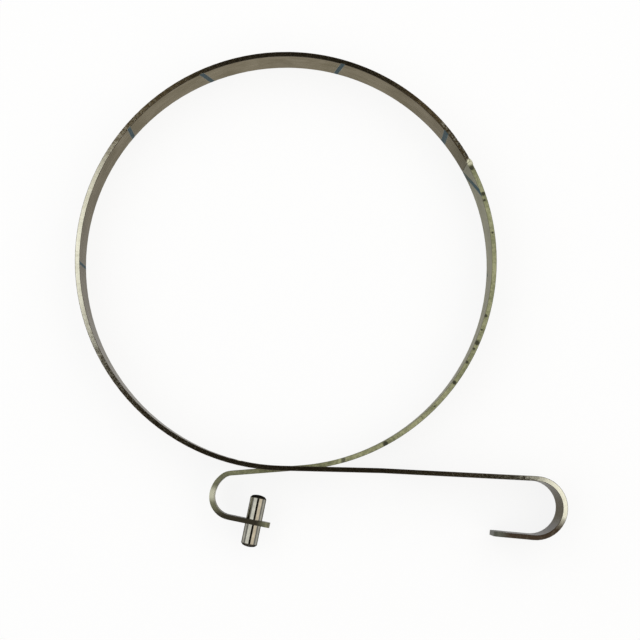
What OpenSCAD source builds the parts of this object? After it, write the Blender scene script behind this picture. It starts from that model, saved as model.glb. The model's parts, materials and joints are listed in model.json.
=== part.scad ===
// Spring band hose clamp.
// Two lengths of flat spring strip are welded end to end and bent into a ring. The ends
// cross: the narrow tongue of the short end runs through a slot in the long end, and each
// end finishes as a hook. Squeezing the hooks together opens the ring, and letting go
// lets it close on the hose. The ring lies in the XY plane with its centre at the origin;
// the ends cross at its lowest point, -Y, and the long end leaves towards +X.

/* [Ring] */
// Outside diameter of the hose, which is the inside diameter of the closed ring
hose_d = 102; // [96:1:110]
// Width of the strip
strip_w = 12; // [11:0.5:16]
// Thickness of the strip
strip_t = 1.2; // [0.9:0.1:1.4]
// Chamfer that takes the burr off the long edges of the strip
edge_chamfer = 0.1; // [0.1:0.05:0.3]

/* [Crossing] */
// Width of the tongue that passes through the slot
tongue_w = 6.6; // [5.6:0.1:7]
// Gap between the tongue and each side of the slot
slot_play = 0.3; // [0.2:0.05:0.4]
// Reach of the slot from the lowest point of the ring towards the short hook
slot_back = 14; // [13:0.5:16]
// Reach of the slot from the lowest point of the ring towards the long hook
slot_front = 30; // [26:0.5:36]
// Distance from the lowest point of the ring to the shoulders of the tongue
shoulder_x = 15; // [14:0.5:18]
// Radius in the corners of the shoulders
shoulder_r = 2; // [1:0.1:2.1]

/* [Long end] */
// Angle at which the long tail leaves the ring
long_leave = 1; // [0.5:0.1:2]
// Straight length of the tail before its set
long_tail_near = 24; // [18:1:28]
// Angle of the shallow set in the tail
long_set = 1.5; // [0.5:0.1:3]
// Straight length of the tail between its set and the long hook
long_tail_far = 37.4; // [34:0.2:46]
// Mean radius of the long hook
long_hook_r = 7.2; // [6:0.1:8]
// Angle through which the long hook turns
long_hook_turn = 182.4; // [170:0.2:190]
// Length of the leg of the long hook
long_leg = 9.7; // [8:0.1:13]

/* [Short end] */
// Angle at which the short tail leaves the ring
short_leave = 4.8; // [3:0.2:6]
// Straight length of the short tail
short_tail = 17.6; // [16.8:0.2:19]
// Mean radii of the bends of the short hook, from the tail to the leg
short_hook_r = [3.7, 5.9, 5.1]; // [3:0.1:9]
// Angles through which those bends turn
short_hook_turn = [37, 26, 101]; // [20:1:110]
// Straight length between two of those bends
short_hook_flat = 0.5; // [0.4:0.1:1]
// Length of the leg of the short hook
short_leg = 10.4; // [9.6:0.1:12]

/* [Grip pin] */
// Diameter of the pin
pin_d = 4; // [3.6:0.1:4.2]
// Length of the pin over its domed ends
pin_l = 13; // [12:0.5:16]
// Distance from the tip of the leg to the pin
pin_inset = 4.1; // [3.6:0.1:4.6]
// Distance by which more of the pin stands inside the hook than outside
pin_offset = 0.6; // [0:0.1:2]
// Height of the dome on each end of the pin
dome_h = 0.5; // [0.3:0.05:0.7]
// Chamfer between the dome and the side of the pin
pin_chamfer = 0.5; // [0.3:0.1:0.6]

/* [Weld] */
// Angle on the ring at which the two lengths of strip are welded together
weld_at = 28.5; // [20:0.5:40]
// Gap between the two butted strips
weld_gap = 0.1; // [0.05:0.05:0.3]
// Length of the bead across the strip
weld_l = 12.8; // [11:0.1:12.8]
// Radius of the bead
weld_r = 1.5; // [1.3:0.1:1.8]
// Height of the bead above the outside of the strip
weld_h = 0.4; // [0.3:0.05:0.5]

/* [Tips] */
// Corner radius at the tip of the long leg
long_tip_r = 2; // [1:0.1:3]
// Corner radius at the tip of the short leg
short_tip_r = 1.4; // [1:0.1:2]

/* [Hidden] */
$fn = 64;
ring_fn = 360;
// The strip flexes most at the top of the ring, where its two halves part by this gap
flex_at = 90;
flex_gap = 0.15;
// Bending draws the strip a hair thinner, and each bend laps into the straights beside it
thinning = 0.01;
lap = 0.1;
set_r = 60;
bent_t = strip_t - thinning;
inner_r = hose_d / 2;
mean_r = inner_r + bent_t / 2;
outer_r = inner_r + bent_t;
ring_turn_per_mm = 180 / PI / mean_r;
weld_half_turn = ring_turn_per_mm * weld_gap / 2;
shoulder_at = -acos(shoulder_x / mean_r);
slot_w = tongue_w + 2 * slot_play;
cut_depth = 6 * strip_t;

// Each end of the band is a list of stretches: [length, 0] for a straight one, and
// [mean radius, turn] for a bend, whose turn is positive to the left.
LONG_END = [
    [long_tail_near, 0],
    [set_r, -long_set],
    [long_tail_far, 0],
    [long_hook_r, -long_hook_turn],
    [long_leg, 0]
];
SHORT_END = [
    [short_tail, 0],
    [short_hook_r[0], short_hook_turn[0]],
    [short_hook_flat, 0],
    [short_hook_r[1], short_hook_turn[1]],
    [short_hook_flat, 0],
    [short_hook_r[2], short_hook_turn[2]],
    [short_leg, 0]
];

// Cross-section of the strip, X through its thickness and Y across its width
module strip_section(width, thickness) {
    x = thickness / 2;
    y = width / 2;
    c = edge_chamfer;
    polygon([
        [x - c, -y], [x, c - y], [x, y - c], [x - c, y],
        [c - x, y], [-x, y - c], [-x, c - y], [c - x, -y]
    ]);
}

// Strip bent to a mean radius, in an arc round the Z axis between two angles
module bent_strip(radius, from, to, width) {
    rotate(from)
        rotate_extrude(angle = to - from, $fn = ring_fn)
            translate([radius, 0]) strip_section(width - thinning, bent_t);
}

// Strip along the ring, from the smaller angle to the larger
module ring_strip(from, to, width) {
    bent_strip(mean_r, from, to, width);
}

// One stretch of strip, which starts at the origin and heads along +X
module stretch(step, width) {
    size = step[0];
    turn = step[1];
    if (turn == 0)
        rotate([90, 0, 90]) linear_extrude(size) strip_section(width, strip_t);
    else {
        side = sign(turn);
        lap_turn = lap / size * 180 / PI;
        start = -90 * side;
        translate([0, side * size, 0])
            bent_strip(size, min(start, start + turn) - lap_turn,
                       max(start, start + turn) + lap_turn, width);
    }
}

// Places its children after the first count stretches of an end
module after(steps, count, i = 0) {
    if (i == count)
        children();
    else if (steps[i][1] == 0)
        translate([steps[i][0], 0, 0]) after(steps, count, i + 1) children();
    else {
        centre = sign(steps[i][1]) * steps[i][0];
        translate([0, centre, 0]) rotate(steps[i][1]) translate([0, -centre, 0])
            after(steps, count, i + 1) children();
    }
}

// Every stretch of an end, one after the other
module strip_end(steps, width) {
    for (i = [0 : len(steps) - 1]) after(steps, i) stretch(steps[i], width);
}

// Cuts straight through the thickness of a strip that heads along +X, to an outline with
// X along the strip and Y across it
module through_strip(depth = cut_depth) {
    rotate([90, 0, 0]) linear_extrude(depth, center = true) children();
}

// Outline of a slot with round ends
module slot_outline(from, to, width) {
    r = width / 2;
    translate([from + r, -r]) square([to - from - width, width]);
    for (x = [from + r, to - r]) translate([x, 0]) circle(r);
}

// What is cut away to round both corners of a strip that ends at the origin
module tip_corners(width, r) {
    for (side = [0, 1])
        mirror([0, 0, side])
            translate([-r, 0, width / 2 - r])
                through_strip() difference() {
                    square(2 * r);
                    circle(r);
                }
}

// The frame in which the long end starts, heading along its +X
module long_frame() {
    rotate(-90 - long_leave) translate([mean_r, 0, 0]) rotate(90) children();
}

// The frame in which the short end starts, heading along its +X
module short_frame() {
    rotate(-90 + short_leave) translate([mean_r, 0, 0]) rotate(-90) children();
}

// The frame of the grip pin, with +Y along its axis into the hook
module pin_frame() {
    short_frame() after(SHORT_END, len(SHORT_END)) translate([-pin_inset, 0, 0]) children();
}

// What is cut from both sides of the ring to leave the tongue
module beside_tongue() {
    reach = inner_r;
    for (side = [0, 1])
        mirror([0, 0, side])
            translate([shoulder_x, -inner_r, tongue_w / 2])
                through_strip(inner_r) {
                    translate([-reach, 0]) square([reach - shoulder_r, strip_w]);
                    translate([-reach, shoulder_r]) square([reach, strip_w]);
                    translate([-shoulder_r, shoulder_r]) circle(shoulder_r);
                }
}

// Left side of the ring, the long tail with its slot, and the long hook
module long_strip() {
    color("dimgray")
        difference() {
            union() {
                ring_strip(flex_at, 270 - long_leave + lap * ring_turn_per_mm, strip_w);
                long_frame() strip_end(LONG_END, strip_w);
            }
            translate([0, -mean_r, 0])
                through_strip() slot_outline(-slot_back, slot_front, slot_w);
            long_frame() after(LONG_END, len(LONG_END)) tip_corners(strip_w, long_tip_r);
        }
}

// The rest of the long strip, between the top of the ring and the weld
module crown_strip() {
    color("dimgray")
        ring_strip(weld_at + weld_half_turn, flex_at - flex_gap * ring_turn_per_mm, strip_w);
}

// Weld bead laid across the outside of the two butted strips
module seam_weld() {
    straight = weld_l - 2 * weld_r;
    color("silver")
        difference() {
            rotate(weld_at) translate([outer_r + weld_h - weld_r, 0, 0]) {
                cylinder(r = weld_r, h = straight, center = true);
                for (side = [-1, 1]) translate([0, 0, side * straight / 2]) sphere(weld_r);
            }
            cylinder(r = outer_r, h = 2 * strip_w, center = true, $fn = ring_fn);
        }
}

// Right side of the ring, the tongue, the short tail and the short hook
module short_strip() {
    color("darkkhaki")
        difference() {
            union() {
                difference() {
                    ring_strip(shoulder_at - 4, weld_at - weld_half_turn, strip_w);
                    beside_tongue();
                }
                ring_strip(-90 + short_leave - lap * ring_turn_per_mm, shoulder_at, tongue_w);
                short_frame() strip_end(SHORT_END, tongue_w);
            }
            pin_frame() rotate([90, 0, 0]) cylinder(d = pin_d, h = cut_depth, center = true);
            short_frame() after(SHORT_END, len(SHORT_END)) tip_corners(tongue_w, short_tip_r);
        }
}

// Half of the pin's outline, from its axis outwards
module pin_half() {
    r = pin_d / 2;
    half = pin_l / 2;
    drop = pin_chamfer + dome_h / 2;
    straight = half - dome_h;
    dome_r = (r * r + dome_h * dome_h) / (2 * dome_h);
    intersection() {
        polygon([
            [0, -half], [r - drop, -half], [r, drop - half],
            [r, half - drop], [r - drop, half], [0, half]
        ]);
        union() {
            translate([0, -straight]) square([r, 2 * straight]);
            for (side = [-1, 1]) translate([0, side * (half - dome_r)]) circle(dome_r);
        }
    }
}

// Round pin with domed ends, held at its middle in the leg of the short hook
module grip_pin() {
    color("gainsboro")
        pin_frame() translate([0, pin_offset / 2, 0])
            rotate([90, 0, 0]) rotate_extrude() pin_half();
}

long_strip();
crown_strip();
seam_weld();
short_strip();
grip_pin();
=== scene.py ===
"""Spring band hose clamp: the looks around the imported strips, weld and pin.

Everything is in metres, as in the frame, apart from the materials. They work in millimetres on
the part at rest, so that a pattern's scale can be read off directly.
"""

import json
import math
import random

import bmesh
import bpy
import numpy as np
from mathutils import Matrix, Vector, noise


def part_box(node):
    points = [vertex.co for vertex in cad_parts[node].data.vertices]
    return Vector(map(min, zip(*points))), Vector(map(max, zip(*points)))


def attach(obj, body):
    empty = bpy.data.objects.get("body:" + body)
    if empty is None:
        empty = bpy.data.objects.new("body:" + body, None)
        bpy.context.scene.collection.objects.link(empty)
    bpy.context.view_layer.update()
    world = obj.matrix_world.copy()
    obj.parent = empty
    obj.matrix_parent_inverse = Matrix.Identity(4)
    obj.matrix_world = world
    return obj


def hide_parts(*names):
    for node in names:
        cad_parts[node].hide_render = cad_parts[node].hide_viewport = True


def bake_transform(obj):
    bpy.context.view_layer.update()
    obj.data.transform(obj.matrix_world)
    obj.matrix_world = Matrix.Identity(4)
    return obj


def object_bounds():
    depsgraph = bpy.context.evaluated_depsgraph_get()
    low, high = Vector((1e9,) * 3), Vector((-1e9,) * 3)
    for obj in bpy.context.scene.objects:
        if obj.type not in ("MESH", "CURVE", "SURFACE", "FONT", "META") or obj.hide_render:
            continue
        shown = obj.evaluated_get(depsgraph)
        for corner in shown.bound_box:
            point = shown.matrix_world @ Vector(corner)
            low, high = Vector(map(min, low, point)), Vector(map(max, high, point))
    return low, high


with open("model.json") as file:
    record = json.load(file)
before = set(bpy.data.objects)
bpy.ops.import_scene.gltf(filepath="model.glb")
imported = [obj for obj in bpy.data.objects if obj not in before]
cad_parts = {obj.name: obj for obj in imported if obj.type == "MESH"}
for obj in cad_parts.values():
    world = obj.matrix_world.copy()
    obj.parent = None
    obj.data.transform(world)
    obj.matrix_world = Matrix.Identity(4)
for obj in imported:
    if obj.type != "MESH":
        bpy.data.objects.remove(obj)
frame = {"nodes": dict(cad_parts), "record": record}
cad_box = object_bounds()
rng = random.Random(7)
MM = 0.001
PER_METRE = 1000.0

# ---------------------------------------------------------------- sizes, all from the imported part
mounts = {m["name"]: m for m in frame["record"]["mounts"]}
crown_lo, crown_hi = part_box("crown_strip")
long_lo, long_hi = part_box("long_strip")
short_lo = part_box("short_strip")[0]
pin_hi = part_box("grip_pin")[1]
bead_lo, bead_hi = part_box("seam_weld")
bead_mid = (bead_lo + bead_hi) / 2

INNER_R = mounts["hose_seat"]["dims"]["r_mm"] * MM
OUTER_R = math.hypot(crown_hi.y, crown_lo.x)
MEAN_R = (INNER_R + OUTER_R) / 2
HALF_W = crown_hi.z
EDGE_CHAMFER = 0.1 * MM
FLEX_AT = math.pi / 2
WELD_AT = math.atan2(bead_mid.y, bead_mid.x)
BEAD_HEIGHT = math.hypot(bead_hi.x, bead_mid.y) - OUTER_R
BEAD_HALF_LENGTH = bead_hi.z
BEAD_HALF_WIDTH = 1.05 * MM

# The same in millimetres, for the materials
INNER = INNER_R * PER_METRE
MEAN = MEAN_R * PER_METRE
LONG_RIGHT = long_hi.x * PER_METRE
LONG_LOW = long_lo.y * PER_METRE
SHORT_LEFT = short_lo.x * PER_METRE
SHORT_LOW = short_lo.y * PER_METRE
SHORT_HOOK_Y = mounts["short_hook"]["pos_m"][1] * PER_METRE
PIN_RIGHT = pin_hi.x * PER_METRE

# ---------------------------------------------------------------- colours and marks
# The two strips: each pair of colours is the darkest and the lightest of that surface
BROWN = dict(faces=((0.39, 0.352, 0.27), (0.54, 0.49, 0.39)),
             edges=((0.50, 0.485, 0.39), (0.72, 0.705, 0.59)),
             burr=(0.12, 0.10, 0.08), face_rough=0.22, edge_rough=0.08, metal=1.0)
OLIVE = dict(faces=((0.23, 0.22, 0.15), (0.31, 0.30, 0.21)),
             edges=((0.19, 0.20, 0.11), (0.37, 0.375, 0.225)),
             burr=(0.17, 0.17, 0.11), face_rough=0.42, edge_rough=0.40, metal=0.45)

# What lies over them
INK = (0.012, 0.055, 0.082)
BRIGHT_WELD = (0.60, 0.595, 0.43)
BLACK_SCALE = (0.012, 0.010, 0.006)
BROWN_HEAT = (0.20, 0.19, 0.12)
BROWN_EDGE_HEAT = (0.14, 0.12, 0.075)
OLIVE_HEAT = (0.13, 0.125, 0.075)
SPECK = (0.035, 0.035, 0.025)
SCORCH = (0.035, 0.037, 0.026)
DUST = (0.06, 0.058, 0.038)
LONG_HOOK_INSIDE = (0.185, 0.16, 0.105)
LONG_HOOK_UNDER = (0.06, 0.042, 0.028)
LONG_HOOK_TIP = (0.10, 0.10, 0.08)
# Painted shade on the faces of the olive strip's tail, where the long strip shades it
SHORT_TAIL_PAINTED_SHADE = (0.12, 0.115, 0.085)
SHORT_TAIL_EDGE = (0.13, 0.13, 0.09)
# Painted highlight on the bend of the olive strip's hook
SHORT_BEND_HIGHLIGHT = (0.64, 0.64, 0.50)
# Painted shade on the leg of the olive strip's hook, by the pin
SHORT_LEG_SHADE = (0.045, 0.037, 0.026)

# Blue pen marks inside the ring: angle in degrees, slant in mm per mm of width, half width in mm
LONG_PEN_MARKS = ((113.6, -0.19, 0.6), (140.6, 0.0, 0.55), (-178.5, 0.0, 0.45))
CROWN_PEN_MARKS = ((75.3, 0.14, 0.55), (38.8, -0.03, 0.8))
SHORT_PEN_MARKS = ((23.6, 0.6, 1.1),)

# Dark specks on the olive edge: angle in degrees, then distance from the inner face and size in mm
SPECKS = ((-15.5, 0.3, 0.42), (-19.6, 0.4, 0.25), (-23.4, 0.5, 0.6), (-25.2, 0.4, 0.3),
          (-29.4, 0.4, 0.4), (-36.0, 0.5, 0.5), (-44.5, 0.6, 0.25), (-61.4, 0.7, 0.65),
          (7.8, 0.6, 0.3), (17.1, 0.4, 0.35), (18.9, 0.6, 0.5))


def on_ring(angle, radius=MEAN_R, z=0.0):
    return Vector((radius * math.cos(angle), radius * math.sin(angle), z))


# ---------------------------------------------------------------- node building
class Graph:
    """The nodes of a material or world, with short ways to add maths, noise and mixes."""

    def __init__(self, owner):
        owner.use_nodes = True
        self.owner = owner
        self.tree = owner.node_tree
        self.tree.nodes.clear()

    def put(self, socket, value):
        if isinstance(value, bpy.types.NodeSocket):
            self.tree.links.new(value, socket)
        elif value is not None:
            socket.default_value = value

    def add(self, kind, inputs=None, **settings):
        node = self.tree.nodes.new(kind)
        for key, value in settings.items():
            setattr(node, key, value)
        for key, value in (inputs or {}).items():
            self.put(node.inputs[key], value)
        return node

    def math(self, op, a, b=None):
        return self.add("ShaderNodeMath", {0: a, 1: b}, operation=op).outputs[0]

    def vec(self, op, a, b=None, scale=None):
        node = self.add("ShaderNodeVectorMath", {0: a, 1: b}, operation=op)
        if scale is not None:
            self.put(node.inputs["Scale"], scale)
        return node.outputs["Value" if op in ("DISTANCE", "DOT_PRODUCT") else "Vector"]

    def times(self, *factors):
        out = factors[0]
        for factor in factors[1:]:
            out = self.math("MULTIPLY", out, factor)
        return out

    def sum(self, *terms):
        out = terms[0]
        for term in terms[1:]:
            out = self.math("ADD", out, term)
        return out

    def largest(self, *values):
        out = values[0]
        for value in values[1:]:
            out = self.math("MAXIMUM", out, value)
        return out

    def split(self, vector):
        return self.add("ShaderNodeSeparateXYZ", {0: vector}).outputs[0:3]

    def object_place(self):
        """The point on the object, in metres."""
        return self.add("ShaderNodeTexCoord").outputs["Object"]

    def object_mm(self):
        return self.vec("SCALE", self.object_place(), scale=PER_METRE)

    def noise(self, vector, scale=1.0, detail=4.0, rough=0.55):
        inputs = {"Vector": vector, "Scale": scale, "Detail": detail, "Roughness": rough}
        return self.add("ShaderNodeTexNoise", inputs).outputs[0]

    def span(self, value, low, high, to_low=0.0, to_high=1.0):
        """value from low to high becomes to_low to to_high, smoothly and clamped."""
        inputs = {0: value, 1: low, 2: high, 3: to_low, 4: to_high}
        return self.add("ShaderNodeMapRange", inputs, interpolation_type="SMOOTHSTEP").outputs[0]

    def above(self, value, low, high):
        """Mask that rises from 0 at low to 1 at high."""
        return self.span(value, low, high)

    def below(self, value, low, high):
        """Mask that falls from 1 at low to 0 at high."""
        return self.span(value, low, high, 1.0, 0.0)

    def mix(self, factor, a, b):
        """Colour that goes from a to b."""
        node = self.add("ShaderNodeMix", {0: factor}, data_type="RGBA")
        for socket, value in ((node.inputs[6], a), (node.inputs[7], b)):
            self.put(socket, (*value, 1.0) if isinstance(value, tuple) else value)
        return node.outputs[2]

    def blend(self, factor, a, b):
        """Number that goes from a to b."""
        return self.add("ShaderNodeMix", {0: factor, 2: a, 3: b}, data_type="FLOAT").outputs[0]

    def bump(self, height, strength, distance):
        inputs = {"Strength": strength, "Distance": distance, "Height": height}
        return self.add("ShaderNodeBump", inputs).outputs[0]

    def surface(self, colour, metal, rough, normal):
        inputs = {"Base Color": colour, "Metallic": metal, "Roughness": rough, "Normal": normal}
        return self.add("ShaderNodeBsdfPrincipled", inputs)

    def finish(self, shader, output="ShaderNodeOutputMaterial"):
        self.tree.links.new(shader.outputs[0], self.add(output).inputs[0])
        return self.owner


# ---------------------------------------------------------------- strip finishes
class Strip(Graph):
    """Rolled spring strip, whose finish is laid on in layers."""

    # How squarely the surface has to face along the hose for it to be the cut edge of the strip,
    # and how little for it to be one of its broad faces. The chamfers lie between the two.
    EDGE_FROM, EDGE_TO = 0.80, 0.95
    FACE_TO, FACE_FROM = 0.30, 0.50

    def __init__(self, name, faces, edges, burr, face_rough, edge_rough, metal, flexes=False):
        super().__init__(bpy.data.materials.new(name))
        self.measure(flexes)
        self.texture()

        tone = self.sum(self.times(self.grain, 0.45), self.times(self.blotch, 0.55))
        face = self.mix(self.span(tone, 0.32, 0.68), *faces)
        in_a_pit = tuple(c * 0.25 for c in faces[0])
        face = self.mix(self.times(self.pits, 0.45), face, in_a_pit)
        edge_tone = self.sum(self.times(self.mottle, 0.6), self.times(self.blotch, 0.4))
        edge = self.mix(self.span(edge_tone, 0.36, 0.64), *edges)
        self.colour = self.mix(self.edge, self.mix(self.face, burr, face), edge)

        rolled = self.span(self.grain, 0.3, 0.7, face_rough - 0.05, face_rough + 0.07)
        cut = self.span(self.mottle, 0.3, 0.7, edge_rough - 0.02, edge_rough + 0.03)
        self.rough = self.blend(self.edge, rolled, cut)
        self.metal = metal

    def measure(self, flexes):
        """Where the point is on the part at rest, and which side of the strip it is on.

        A strip that flexes carries its places at rest, so that its marks bend with it.
        """
        if flexes:
            rest = self.add("ShaderNodeAttribute", attribute_name="rest").outputs["Vector"]
            self.p = self.vec("SCALE", rest, scale=PER_METRE)
        else:
            self.p = self.object_mm()
        self.x, self.y, self.z = self.split(self.p)
        self.angle = self.math("ARCTAN2", self.y, self.x)
        squares = self.sum(self.times(self.x, self.x), self.times(self.y, self.y))
        self.radius = self.math("SQRT", squares)
        normal = self.add("ShaderNodeNewGeometry").outputs["Normal"]
        sideways = self.math("ABSOLUTE", self.split(normal)[2])
        self.edge = self.above(sideways, self.EDGE_FROM, self.EDGE_TO)
        self.face = self.below(sideways, self.FACE_TO, self.FACE_FROM)

    def texture(self):
        """Rolling grain along the strip, coarse and fine, then tarnish, mottling and pits."""
        self.grain = self.noise(self.vec("MULTIPLY", self.p, (0.14, 0.14, 5.0)), detail=6.0, rough=0.6)
        self.fine = self.noise(self.vec("MULTIPLY", self.p, (0.5, 0.5, 22.0)), detail=3.0)
        self.blotch = self.noise(self.p, scale=0.16, detail=3.0)
        self.mottle = self.noise(self.p, scale=1.3, detail=5.0, rough=0.65)
        pitting = self.noise(self.p, scale=3.2, detail=2.0)
        self.pits = self.times(self.face, self.above(pitting, 0.66, 0.74))

    def lay(self, mask, colour, share=1.0, metal=None, rough=None):
        """Lays another finish, or painted light or shade, over the strip where mask is 1, to cover it by
        share.
        """
        if share < 1.0:
            mask = self.times(mask, share)
        self.colour = self.mix(mask, self.colour, colour)
        if metal is not None:
            self.metal = self.blend(mask, self.metal, metal)
        if rough is not None:
            self.rough = self.blend(mask, self.rough, rough)

    def spot(self, centre, size, ragged=0.6, soft=0.4):
        """A ragged round mask, where centre is a point in metres and size is in millimetres."""
        away = self.vec("DISTANCE", self.p, tuple(centre * PER_METRE))
        away = self.sum(away, self.times(self.math("SUBTRACT", self.mottle, 0.5), ragged * size))
        return self.below(away, size * (1 - soft), size * (1 + soft))

    def pen_marks(self, marks):
        """Blue pen marks across the inside of the ring."""
        lines = []
        wobble = self.times(self.math("SUBTRACT", self.mottle, 0.5), 0.35)
        for at, slant, half_width in marks:
            off = self.times(self.math("SUBTRACT", self.angle, math.radians(at)), INNER)
            off = self.sum(off, self.times(self.z, slant))
            off = self.sum(self.math("ABSOLUTE", off), wobble)
            lines.append(self.below(off, half_width - 0.1, half_width + 0.1))
        inside = self.below(self.radius, INNER + 0.04, INNER + 0.16)
        worn = self.span(self.fine, 0.3, 0.6, 0.72, 0.97)
        self.lay(self.times(self.largest(*lines), inside, worn), INK, metal=0.0, rough=0.8)

    def from_weld(self):
        """Millimetres from the weld, along the strip towards the top of the ring."""
        return self.times(self.math("SUBTRACT", self.angle, WELD_AT), MEAN)

    def weld_end(self):
        """Bright metal where the weld runs out over the edges of the two strips."""
        mask = self.spot(on_ring(WELD_AT, OUTER_R - 0.4 * MM, HALF_W), 0.75, ragged=1.2)
        self.lay(mask, BRIGHT_WELD, metal=0.3, rough=0.35)

    def done(self):
        height = self.sum(self.times(self.grain, 0.6), self.times(self.fine, 0.25),
                          self.times(self.mottle, 0.3))
        height = self.math("SUBTRACT", height, self.times(self.pits, 0.5))
        strength = self.blend(self.edge, 0.35, 0.03)
        bsdf = self.surface(self.colour, self.metal, self.rough, self.bump(height, strength, 0.03 * MM))
        bsdf.inputs["Specular Tint"].default_value = (0.27, 0.26, 0.24, 1.0)
        bsdf.inputs["Specular IOR Level"].default_value = 0.15
        return self.finish(bsdf)


def long_strip_material():
    """The brown strip, with three pen marks, and darker on and in its hook."""
    g = Strip("brown_strip", **BROWN)
    g.pen_marks(LONG_PEN_MARKS)
    in_hook = g.above(g.x, LONG_RIGHT - 12, LONG_RIGHT - 8)
    g.lay(g.times(g.face, in_hook), LONG_HOOK_INSIDE, share=0.85)
    under = g.below(g.y, LONG_LOW + 2.5, LONG_LOW + 6.0)
    patchy = g.span(g.mottle, 0.2, 0.5, 0.75, 1.0)
    g.lay(g.times(under, patchy), LONG_HOOK_UNDER, metal=0.45, rough=0.3)
    low = g.below(g.y, LONG_LOW + 4, LONG_LOW + 9)
    at_tip = g.below(g.x, LONG_RIGHT - 16.5, LONG_RIGHT - 14.0)
    g.lay(g.times(low, at_tip), LONG_HOOK_TIP, metal=0.3, rough=0.45)
    return g.done()


def crown_material():
    """The brown strip as far as the weld, which has heated it and left scale along its outer edge."""
    g = Strip("brown_strip_crown", **BROWN, flexes=True)
    g.pen_marks(CROWN_PEN_MARKS)
    along = g.from_weld()
    patchy = g.span(g.mottle, 0.3, 0.6, 0.5, 1.0)
    g.lay(g.times(g.face, g.span(along, 1.0, 11.0, 0.7, 0.0), patchy), BROWN_HEAT)
    g.lay(g.times(g.edge, g.span(along, 8.0, 14.0, 0.55, 0.0)), BROWN_EDGE_HEAT)
    outer_half = g.times(g.edge, g.above(g.radius, MEAN - 0.35, MEAN + 0.1))
    dots = g.above(g.noise(g.p, scale=1.15, detail=1.0), 0.50, 0.58)
    scaled = g.times(outer_half, dots, g.below(along, 9.0, 13.0))
    g.lay(scaled, BLACK_SCALE, share=0.9, metal=0.2, rough=0.5)
    g.weld_end()
    return g.done()


def short_strip_material():
    """The olive strip, with specks on its edge, a scorched spot by the weld, painted shade on its tail and
    on the leg of its hook, and a painted highlight on the hook's bend.
    """
    g = Strip("olive_strip", **OLIVE)
    g.pen_marks(SHORT_PEN_MARKS)
    by_weld = g.above(g.from_weld(), -7.0, -1.0)
    g.lay(g.times(by_weld, g.span(g.mottle, 0.3, 0.6, 0.3, 1.0)), OLIVE_HEAT, share=0.5)
    for at, out, size in SPECKS:
        centre = on_ring(math.radians(at), INNER_R + out * MM, HALF_W)
        g.lay(g.spot(centre, size), SPECK, share=0.9)
    scorched = on_ring(WELD_AT - math.radians(1.7), OUTER_R - 0.7 * MM, HALF_W)
    g.lay(g.spot(scorched, 0.6), SCORCH, share=0.9)
    g.weld_end()
    blue_dot = on_ring(math.radians(-2.9), INNER_R, -3.6 * MM)
    g.lay(g.spot(blue_dot, 0.6), INK, share=0.9, metal=0.0, rough=0.8)
    dust = g.span(g.noise(g.p, scale=2.1, detail=1.0), 0.64, 0.72, 0.0, 0.45)
    g.lay(g.times(dust, g.edge), DUST)

    # The tail, the bend and the leg of the hook: painted shade on the tail's faces and on the leg, a
    # painted highlight on the bend
    tail_shade = g.times(g.below(g.y, -INNER, 1.0 - INNER), g.below(g.x, 10.0, 14.0),
                   g.above(g.y, SHORT_HOOK_Y - 0.4, SHORT_HOOK_Y + 1.1))
    g.lay(g.times(g.face, tail_shade), SHORT_TAIL_PAINTED_SHADE, share=0.85)
    g.lay(g.times(g.edge, g.below(g.y, -INNER - 3.0, -INNER - 0.5)), SHORT_TAIL_EDGE, share=0.7)
    # Painted highlight on the bend of the hook
    bend_highlight = g.times(g.below(g.x, SHORT_LEFT + 1.2, SHORT_LEFT + 2.6),
                   g.above(g.y, SHORT_HOOK_Y - 1.9, SHORT_HOOK_Y + 0.1),
                   g.below(g.y, SHORT_HOOK_Y + 1.1, SHORT_HOOK_Y + 3.1))
    g.lay(bend_highlight, SHORT_BEND_HIGHLIGHT, share=0.85)
    # Painted shade on the leg of the hook, by the pin
    leg_shade = g.times(g.below(g.y, SHORT_LOW + 2.9, SHORT_LOW + 5.3),
                  g.below(g.x, PIN_RIGHT - 2.6, PIN_RIGHT - 0.2))
    g.lay(leg_shade, SHORT_LEG_SHADE, share=0.9, metal=0.7, rough=0.3)
    return g.done()


def weld_material():
    """Bright bead, with waves across it and specks of scale."""
    g = Graph(bpy.data.materials.new("weld_metal"))
    p = g.object_mm()
    z = g.split(p)[2]
    mottle = g.noise(p, scale=1.6, detail=5.0, rough=0.6)
    ripple = g.math("SINE", g.sum(g.times(z, 7.5), g.times(mottle, 3.0)))
    colour = g.mix(g.span(mottle, 0.35, 0.65), (0.40, 0.39, 0.27), (0.68, 0.67, 0.50))
    specks = g.above(g.noise(p, scale=2.8, detail=2.0), 0.6, 0.68)
    colour = g.mix(g.times(specks, 0.6), colour, (0.10, 0.095, 0.06))
    normal = g.bump(g.sum(g.times(ripple, 0.3), mottle), 0.5, 0.06 * MM)
    return g.finish(g.surface(colour, 0.6, g.span(mottle, 0.3, 0.7, 0.28, 0.45), normal))


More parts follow.
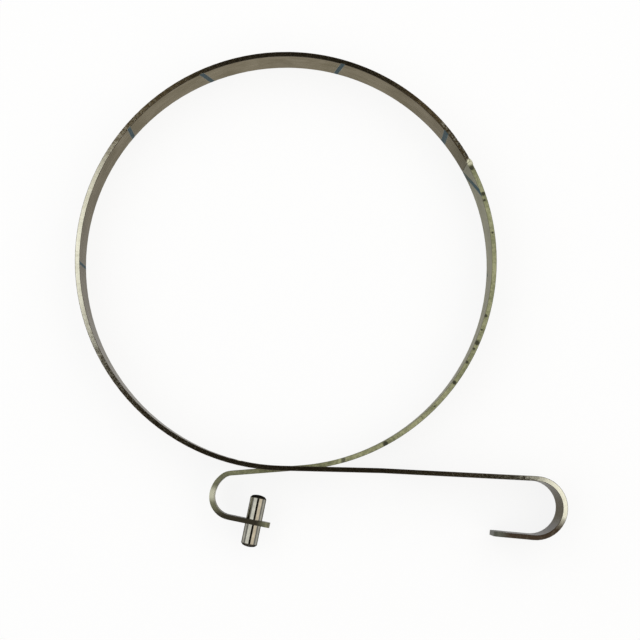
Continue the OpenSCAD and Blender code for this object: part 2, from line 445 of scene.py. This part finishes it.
def pin_material():
    """Ground steel: fine rings round the pin, handling marks, and darker, rougher ends."""
    g = Graph(bpy.data.materials.new("ground_pin"))
    points = np.array([v.co for v in frame["nodes"]["grip_pin"].data.vertices])
    middle = points.mean(axis=0)
    axis = np.linalg.svd(points - middle)[2][0]
    half_length = np.abs((points - middle) @ axis).max() * PER_METRE
    p = g.object_mm()
    from_middle = g.vec("SUBTRACT", p, tuple(middle * PER_METRE))
    along = g.vec("DOT_PRODUCT", from_middle, tuple(axis))
    rings = g.add("ShaderNodeTexNoise", {"W": g.times(along, 9.0), "Scale": 1.0, "Detail": 3.0},
                  noise_dimensions="1D").outputs[0]
    marks = g.noise(p, scale=0.9, detail=4.0)
    end = g.above(g.math("ABSOLUTE", along), half_length - 0.95, half_length - 0.7)
    colour = g.mix(g.span(marks, 0.35, 0.7), (0.31, 0.30, 0.26), (0.41, 0.40, 0.345))
    colour = g.mix(end, colour, (0.07, 0.063, 0.052))
    rough = g.blend(end, g.span(marks, 0.3, 0.7, 0.05, 0.10), 0.35)
    bsdf = g.surface(colour, 1.0, rough, g.bump(rings, 0.10, 0.01 * MM))
    bsdf.inputs["Specular Tint"].default_value = (0.0, 0.0, 0.0, 1.0)
    return g.finish(bsdf)


# ---------------------------------------------------------------- pieces
def dress(mesh, material, crease):
    """Gives a mesh its material, and smooth shading apart from creases sharper than that angle."""
    mesh.materials.clear()
    mesh.materials.append(material)
    mesh.shade_smooth()
    mesh.set_sharp_from_angle(angle=math.radians(crease))


def finished(name, bm, material, crease):
    """Turns a bmesh into an object of the scene."""
    bmesh.ops.recalc_face_normals(bm, faces=bm.faces)
    mesh = bpy.data.meshes.new(name)
    bm.to_mesh(mesh)
    bm.free()
    dress(mesh, material, crease)
    obj = bpy.data.objects.new(name, mesh)
    bpy.context.scene.collection.objects.link(obj)
    return obj


def loft(bm, loops):
    """Skins closed loops of points one to the next, with a flat cap on each end."""
    rings = [[bm.verts.new(p) for p in loop] for loop in loops]
    for a, b in zip(rings, rings[1:]):
        for i in range(len(a)):
            j = (i + 1) % len(a)
            bm.faces.new((a[i], a[j], b[j], b[i]))
    bm.faces.new(rings[0][::-1])
    bm.faces.new(rings[-1])


def crown():
    """The strip from the top of the ring to the weld.

    Its outer corner on the near side is ground off at the weld and nicked beside it.
    """
    steps = 180
    gap_at_weld = 0.05 * MM
    first = FLEX_AT
    last = WELD_AT + gap_at_weld / MEAN_R
    nick_depth = 0.22 * MM
    ground_depth = 0.40 * MM
    # In millimetres from the weld: where the nicks are deepest, and how far the grinding reaches
    nicks_deepest = 5.5
    ground_to = 1.8

    half_t = (OUTER_R - INNER_R) / 2
    c = EDGE_CHAMFER
    outline = [(half_t - c, -HALF_W), (half_t, c - HALF_W), (half_t, HALF_W - c), (half_t - c, HALF_W),
               (c - half_t, HALF_W), (-half_t, HALF_W - c), (-half_t, c - HALF_W), (c - half_t, -HALF_W)]
    near_corner = (2, 3)

    loops = []
    for i in range(steps + 1):
        at = first + (last - first) * i / steps
        from_weld = (at - WELD_AT) * MEAN_R / MM
        nicked = max(0.0, 1 - abs(from_weld - nicks_deepest) / nicks_deepest)
        ground = max(0.0, 1 - from_weld / ground_to)
        loop = []
        for k, (r, z) in enumerate(outline):
            if k in near_corner:
                rough = max(0.0, noise.noise(Vector((from_weld * 1.7, k * 3.1, 4.2))))
                r -= nick_depth * nicked * rough + ground_depth * ground ** 2
            loop.append(on_ring(at, MEAN_R + r, z))
        loops.append(loop)
    bm = bmesh.new()
    loft(bm, loops)
    obj = finished("crown_band", bm, crown_material(), crease=25)
    rest = obj.data.attributes.new("rest", "FLOAT_VECTOR", "POINT")
    rest.data.foreach_set("vector", [c for v in obj.data.vertices for c in v.co])
    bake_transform(obj)
    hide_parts("crown_strip")


def bead_loop(i, rows, around):
    """One slice across the bead: an arch over the strip's face, closed a little below it."""
    t = -1 + 2 * i / rows
    taper = math.sqrt(max(0.0, 1 - abs(t) ** 7))
    ripple = 1 + 0.10 * math.sin(i * 0.95) + 0.12 * noise.noise(Vector((i * 0.13, 0.3, 0.7)))
    wander = 0.10 * MM * noise.noise(Vector((i * 0.09, 5.1, 1.2)))
    never_flat = 1e-5
    half_width = BEAD_HALF_WIDTH * taper * ripple + never_flat
    height = BEAD_HEIGHT * taper * min(1.0, 0.86 * ripple) + never_flat
    root = -0.25 * MM
    arch = []
    for k in range(around + 1):
        a = math.pi * k / around
        arch.append((half_width * math.cos(a) + wander, height * math.sin(a)))
    arch += [(wander - half_width * 0.6, root), (wander + half_width * 0.6, root)]
    return [on_ring(WELD_AT + s / OUTER_R, OUTER_R + r, t * BEAD_HALF_LENGTH) for s, r in arch]


def spatter(bm, drops):
    """Small drops of weld metal on the outside of the ring, on either side of the bead."""
    for _ in range(drops):
        size = rng.uniform(0.10, 0.22) * MM
        beside = rng.choice((-1, 1)) * rng.uniform(1.5, 4.5) * MM
        z = rng.uniform(-0.9, 0.9) * HALF_W
        at = WELD_AT + beside / OUTER_R
        turn = Matrix.Rotation(at, 4, "Z")
        flattened = Matrix.Diagonal((size * 0.7, size, size, 1))
        place = Matrix.Translation(on_ring(at, OUTER_R, z)) @ turn @ flattened
        drop = bmesh.ops.create_icosphere(bm, subdivisions=2, radius=1.0, matrix=place)
        for v in drop["verts"]:
            v.co += v.co.normalized() * 0.02 * MM * noise.noise(v.co * 9000)


def weld_bead():
    """Rippled bead across the outside of the joint, with drops of spatter beside it."""
    rows, around = 110, 20
    bm = bmesh.new()
    loft(bm, [bead_loop(i, rows, around) for i in range(rows + 1)])
    spatter(bm, drops=9)
    obj = finished("weld_bead", bm, weld_material(), crease=60)
    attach(obj, "short_end")
    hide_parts("seam_weld")


dress(frame["nodes"]["long_strip"].data, long_strip_material(), crease=30)
dress(frame["nodes"]["short_strip"].data, short_strip_material(), crease=30)
dress(frame["nodes"]["grip_pin"].data, pin_material(), crease=30)
crown()
weld_bead()


# ---------------------------------------------------------------- stage
def plate(name, corners, material):
    """A flat panel of the stage."""
    mesh = bpy.data.meshes.new(name)
    mesh.from_pydata(corners, [], [tuple(range(len(corners)))])
    mesh.materials.append(material)
    obj = bpy.data.objects.new(name, mesh)
    bpy.context.scene.collection.objects.link(obj)
    return obj


def floor_material():
    """Pale paper that shows almost white, seen straight or in metal, and keeps a faint shadow."""
    g = Graph(bpy.data.materials.new("pale_floor"))
    paper = g.noise(g.object_place(), scale=900.0, detail=2.0)
    colour = g.mix(paper, (0.90, 0.90, 0.90), (0.94, 0.94, 0.94))
    diffuse = g.add("ShaderNodeBsdfDiffuse", {"Color": colour})
    glow = g.add("ShaderNodeEmission", {"Color": (1, 1, 1, 1), "Strength": 1.0})
    ray = g.add("ShaderNodeLightPath").outputs
    seen = g.largest(ray["Is Camera Ray"], ray["Is Glossy Ray"], ray["Is Transmission Ray"])
    white_share = 0.86
    shown = {0: g.times(seen, white_share), 1: diffuse.outputs[0], 2: glow.outputs[0]}
    return g.finish(g.add("ShaderNodeMixShader", shown))


def card_material():
    """Near-black in the middle and brown towards its sides, which the edges of the strip mirror."""
    g = Graph(bpy.data.materials.new("dark_card"))
    place = g.object_place()
    x, y = g.split(place)[0:2]
    black = g.mix(g.noise(place, scale=300.0), (0.020, 0.016, 0.011), (0.034, 0.027, 0.018))
    side = g.times(g.span(g.math("ABSOLUTE", x), 0.045, 0.105), g.span(y, -0.03, 0.12, 0.12, 1.0))
    return g.finish(g.add("ShaderNodeBsdfDiffuse", {"Color": g.mix(side, black, (0.16, 0.12, 0.07))}))


FLOOR_Z = cad_box[0].z - 0.02 * MM
FLOOR_CORNERS = ((-3, -3), (3, -3), (3, 3), (-3, 3))
CARD_Z = 0.63
CARD_CORNERS = ((-0.14, -0.75), (0.17, -0.75), (0.14, 0.85), (-0.14, 0.85))
plate("floor", [(x, y, FLOOR_Z) for x, y in FLOOR_CORNERS], floor_material())
card = plate("card", [(x, y, CARD_Z) for x, y in CARD_CORNERS], card_material())
card.visible_camera = False
card.visible_diffuse = False


# ---------------------------------------------------------------- lamps
LAMP_Z = 0.6
OUT_LEFT = Vector((-0.45, 0, -0.28))
OUT_RIGHT = Vector((0.45, 0, -0.28))
COOL = (0.985, 1.0, 0.985)
NEUTRAL = (1.0, 0.99, 0.95)
WARM = (1.0, 0.86, 0.68)


def softbox(name, inner_a, inner_b, slope, colour, radiance):
    """Area lamp whose inner edge runs from inner_a to inner_b, and which slopes down and outwards.

    The edges of the strip are bright where they mirror it, and dark where they mirror the card.
    """
    inner_a = Vector((*inner_a, LAMP_Z))
    inner_b = Vector((*inner_b, LAMP_Z))
    along = (inner_b - inner_a).normalized()
    down = slope - slope.dot(along) * along
    centre = (inner_a + inner_b) / 2 + down / 2
    x_axis = down.normalized()
    z_axis = x_axis.cross(along)
    # A lamp shines along its own -Z, so its +Z has to point away from the part
    if z_axis.dot(centre) < 0:
        along, z_axis = -along, -z_axis
    data = bpy.data.lights.new(name, "AREA")
    data.shape = "RECTANGLE"
    data.size = down.length
    data.size_y = (inner_b - inner_a).length
    data.color = colour
    data.energy = math.pi * data.size * data.size_y * radiance
    lamp = bpy.data.objects.new(name, data)
    lamp.matrix_world = Matrix((x_axis, along, z_axis)).transposed().to_4x4()
    lamp.location = centre
    bpy.context.scene.collection.objects.link(lamp)
    lamp.visible_camera = False


softbox("lamp_left", (-0.165, -0.55), (-0.080, 0.75), OUT_LEFT, COOL, radiance=1.13)
softbox("lamp_right", (0.1535, -0.089), (0.063, 0.73), OUT_RIGHT, NEUTRAL, radiance=1.25)
softbox("lamp_front", (0.195, -0.55), (0.195, -0.10), OUT_RIGHT, WARM, radiance=1.05)

bpy.context.scene.world = bpy.data.worlds.new("studio")
sky = Graph(bpy.context.scene.world)
white = sky.add("ShaderNodeBackground", {"Color": (1, 1, 1, 1), "Strength": 0.4})
sky.finish(white, output="ShaderNodeOutputWorld")

# ---------------------------------------------------------------- camera, nearly straight down on the ring
camera = bpy.data.objects.new("camera", bpy.data.cameras.new("camera"))
bpy.context.scene.collection.objects.link(camera)
camera.data.sensor_width = 36.0
camera.data.lens = 91.8
camera.location = (0.0045, -0.0500, 0.4070)
LEAN, ROLL, PAN = 0.0867, 0.0080, -0.0106
turn = Matrix.Rotation(ROLL, 3, "Z") @ Matrix.Rotation(LEAN, 3, "X") @ Matrix.Rotation(PAN, 3, "Y")
camera.rotation_euler = turn.to_euler()
bpy.context.scene.camera = camera
bpy.context.scene.view_settings.view_transform = "Standard"
